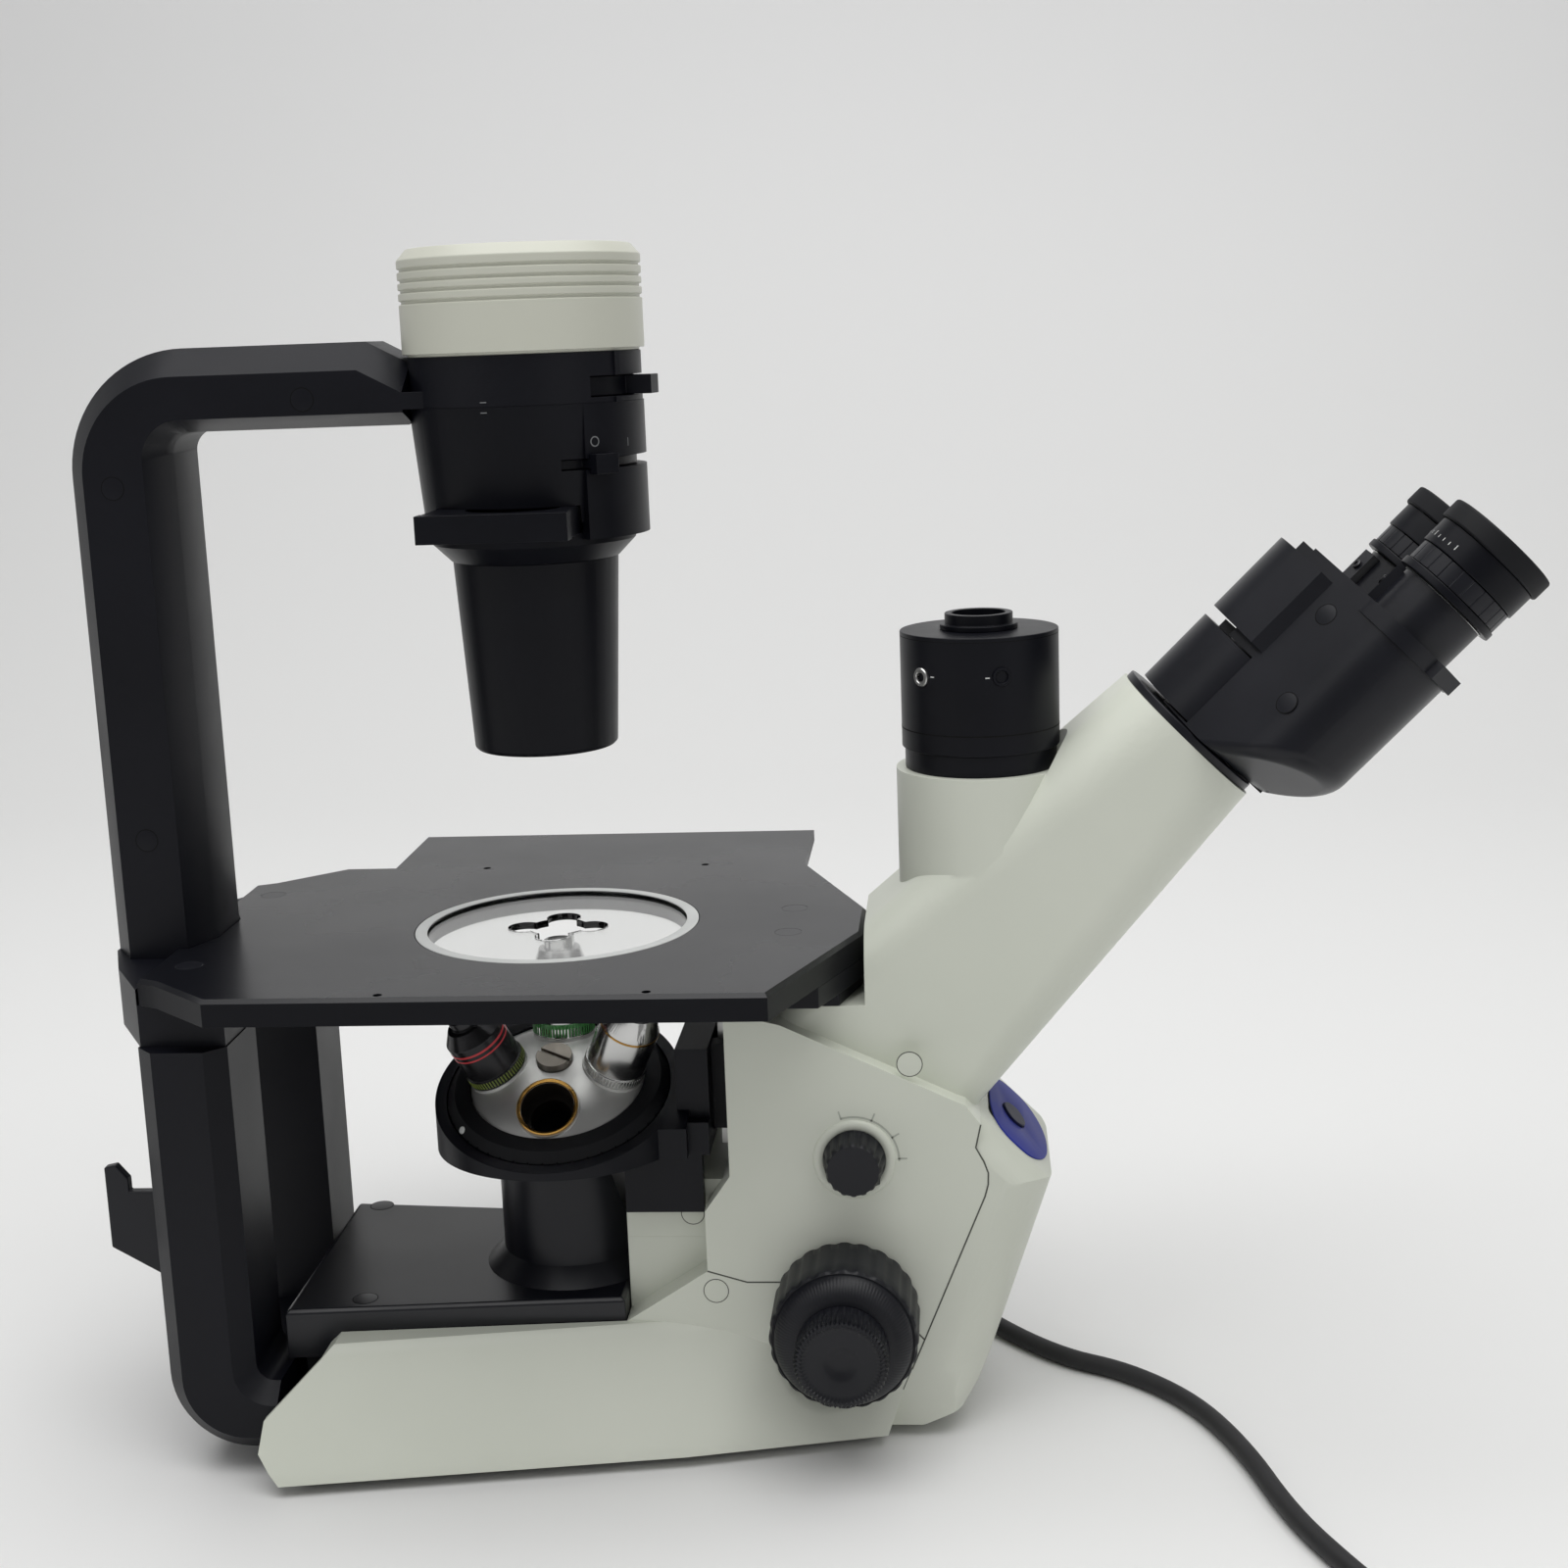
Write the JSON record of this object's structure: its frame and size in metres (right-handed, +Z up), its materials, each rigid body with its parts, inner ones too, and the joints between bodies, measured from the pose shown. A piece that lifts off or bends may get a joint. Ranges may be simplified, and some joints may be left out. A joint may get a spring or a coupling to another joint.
{
  "type": "inverted microscope",
  "caption": "Inverted laboratory microscope: C-shaped stand with lamp and long condenser over a flat stage, tilting nosepiece below, side focus knobs, camera port and slanted twin eyepieces.",
  "frame": {"origin": "on the bench plane, straight below the specimen: the optical axis of the condenser and the upright objective meets the bottom of the feet", "axes": "+Z up along the optical axis, +X from the pillar towards the user and the eyepieces, +Y towards the far side in the picture"},
  "size_m": [0.5352, 0.437, 0.4505],
  "materials": {
    "white_paint": "satin powder coat",
    "black_paint": "fine satin texture",
    "black_plastic": "matt",
    "black_rubber": "matt",
    "steel": "turned",
    "satin_silver": "satin plated",
    "brass": "turned",
    "lens_glass": "polished",
    "clear_plastic": "clear polished",
    "mirror": "front silvered",
    "blue_plastic": "semi gloss",
    "lamp": "emitter"
  },
  "bodies": {
    "stand": {"base_shell": "white_paint", "base_plate": "black_paint", "rubber_feet": "black_rubber", "lower_frame": "black_paint", "deck": "black_plastic", "light_column": "black_plastic", "fold_mirror": "mirror", "tube_lens": "lens_glass", "upper_arm": "black_paint", "lamp_cap": "white_paint", "led_module": "lamp", "collector_lens": "lens_glass", "condenser_body": "black_plastic", "condenser_cone": "black_plastic", "condenser_lens": "lens_glass", "stage_plate": "black_paint", "stage_insert": "clear_plastic", "extension_plate": "black_paint", "stage_plugs": "black_plastic", "stage_screws": "steel", "stage_bracket": "black_paint", "main_body": "white_paint", "front_cover": "white_paint", "blue_panel": "blue_plastic", "hinge_spindle": "black_paint", "camera_port_ring": "black_paint", "camera_adapter": "black_paint", "c_mount_ring": "black_paint", "adapter_screws": "steel", "cord_hook": "black_plastic", "guide_rail": "steel", "power_inlet": "black_rubber", "cord_tube": "black_rubber", "cord_coil": "black_rubber", "cord_plug": "black_rubber"},
    "nosepiece_carriage": {"carriage": "black_paint"},
    "turret": {"turret_dome": "satin_silver", "turret_grip": "black_rubber", "pivot_screw": "steel", "port_ring": "brass", "objective_low": "black_paint", "objective_mid": "satin_silver", "objective_high": "satin_silver"},
    "coarse_focus": {"coarse_knobs": "black_plastic", "coarse_shaft": "steel"},
    "fine_focus": {"fine_knobs": "black_plastic", "fine_shaft": "steel"},
    "brightness": {"brightness_knob": "black_plastic"},
    "power": {"power_button": "black_plastic"},
    "slider": {"phase_slider": "black_plastic"},
    "aperture": {"aperture_lever": "black_plastic"},
    "field": {"field_lever": "black_plastic"},
    "near_ocular": {"ocular_near": "black_plastic", "eyepiece_near": "black_paint", "eyecup_near": "black_rubber"},
    "far_ocular": {"ocular_far": "black_plastic", "eyepiece_far": "black_paint", "eyecup_far": "black_rubber"},
    "near_diopter": {"diopter_ring_near": "black_plastic"},
    "far_diopter": {"diopter_ring_far": "black_plastic"}
  },
  "joints": [
    {"name": "nosepiece_slide", "type": "slide", "parent": "stand", "child": "nosepiece_carriage", "axis": [0, 0, 1], "range_m": [-0.009, 0.002]},
    {"name": "turret_turn", "type": "hinge", "parent": "nosepiece_carriage", "child": "turret", "pos_m": [0, 0, 0.0905], "axis": [0, -0.3746, 0.9272], "continuous": true},
    {"name": "coarse_turn", "type": "hinge", "parent": "stand", "child": "coarse_focus", "pos_m": [0.1107, 0, 0.0533], "axis": [0, -1, 0], "range_deg": [-88, 19.6]},
    {"name": "fine_turn", "type": "hinge", "parent": "stand", "child": "fine_focus", "pos_m": [0.1107, 0, 0.0533], "axis": [0, -1, 0], "continuous": true},
    {"name": "brightness_turn", "type": "hinge", "parent": "stand", "child": "brightness", "pos_m": [0.1152, -0.05, 0.1126], "axis": [0, -1, 0], "range_deg": [-135, 135]},
    {"name": "power_press", "type": "slide", "parent": "stand", "child": "power", "axis": [-0.7071, 0, -0.7071], "range_m": [0, 0.0015], "stiffness_N_per_m": 1500},
    {"name": "slider_shift", "type": "slide", "parent": "stand", "child": "slider", "axis": [0, -1, 0], "range_m": [-0.012, 0.044]},
    {"name": "aperture_turn", "type": "hinge", "parent": "stand", "child": "aperture", "pos_m": [0, 0, 0.3726], "axis": [0, 0, 1], "range_deg": [-10, 85]},
    {"name": "field_turn", "type": "hinge", "parent": "stand", "child": "field", "pos_m": [0, 0, 0.403], "axis": [0, 0, 1], "range_deg": [-30, 30]},
    {"name": "near_ocular_swing", "type": "hinge", "parent": "stand", "child": "near_ocular", "pos_m": [0.2418, 0, 0.2642], "axis": [0.7071, 0, 0.7071], "range_deg": [-18.8, 13.9]},
    {"name": "far_ocular_swing", "type": "hinge", "parent": "stand", "child": "far_ocular", "pos_m": [0.2418, 0, 0.2642], "axis": [0.7071, 0, 0.7071], "range_deg": [-13.9, 18.8]},
    {"name": "near_diopter_turn", "type": "hinge", "parent": "near_ocular", "child": "near_diopter", "pos_m": [0.33251, -0.031, 0.31916], "axis": [0.7071, 0, 0.7071], "range_deg": [-120, 120]},
    {"name": "far_diopter_turn", "type": "hinge", "parent": "far_ocular", "child": "far_diopter", "pos_m": [0.33251, 0.031, 0.31916], "axis": [0.7071, 0, 0.7071], "range_deg": [-120, 120]}
  ],
  "couplings": [
    {"joint": "coarse_turn", "follows": "nosepiece_slide", "rad_per_m": 170.65},
    {"joint": "far_ocular_swing", "follows": "near_ocular_swing", "ratio": -1}
  ]
}
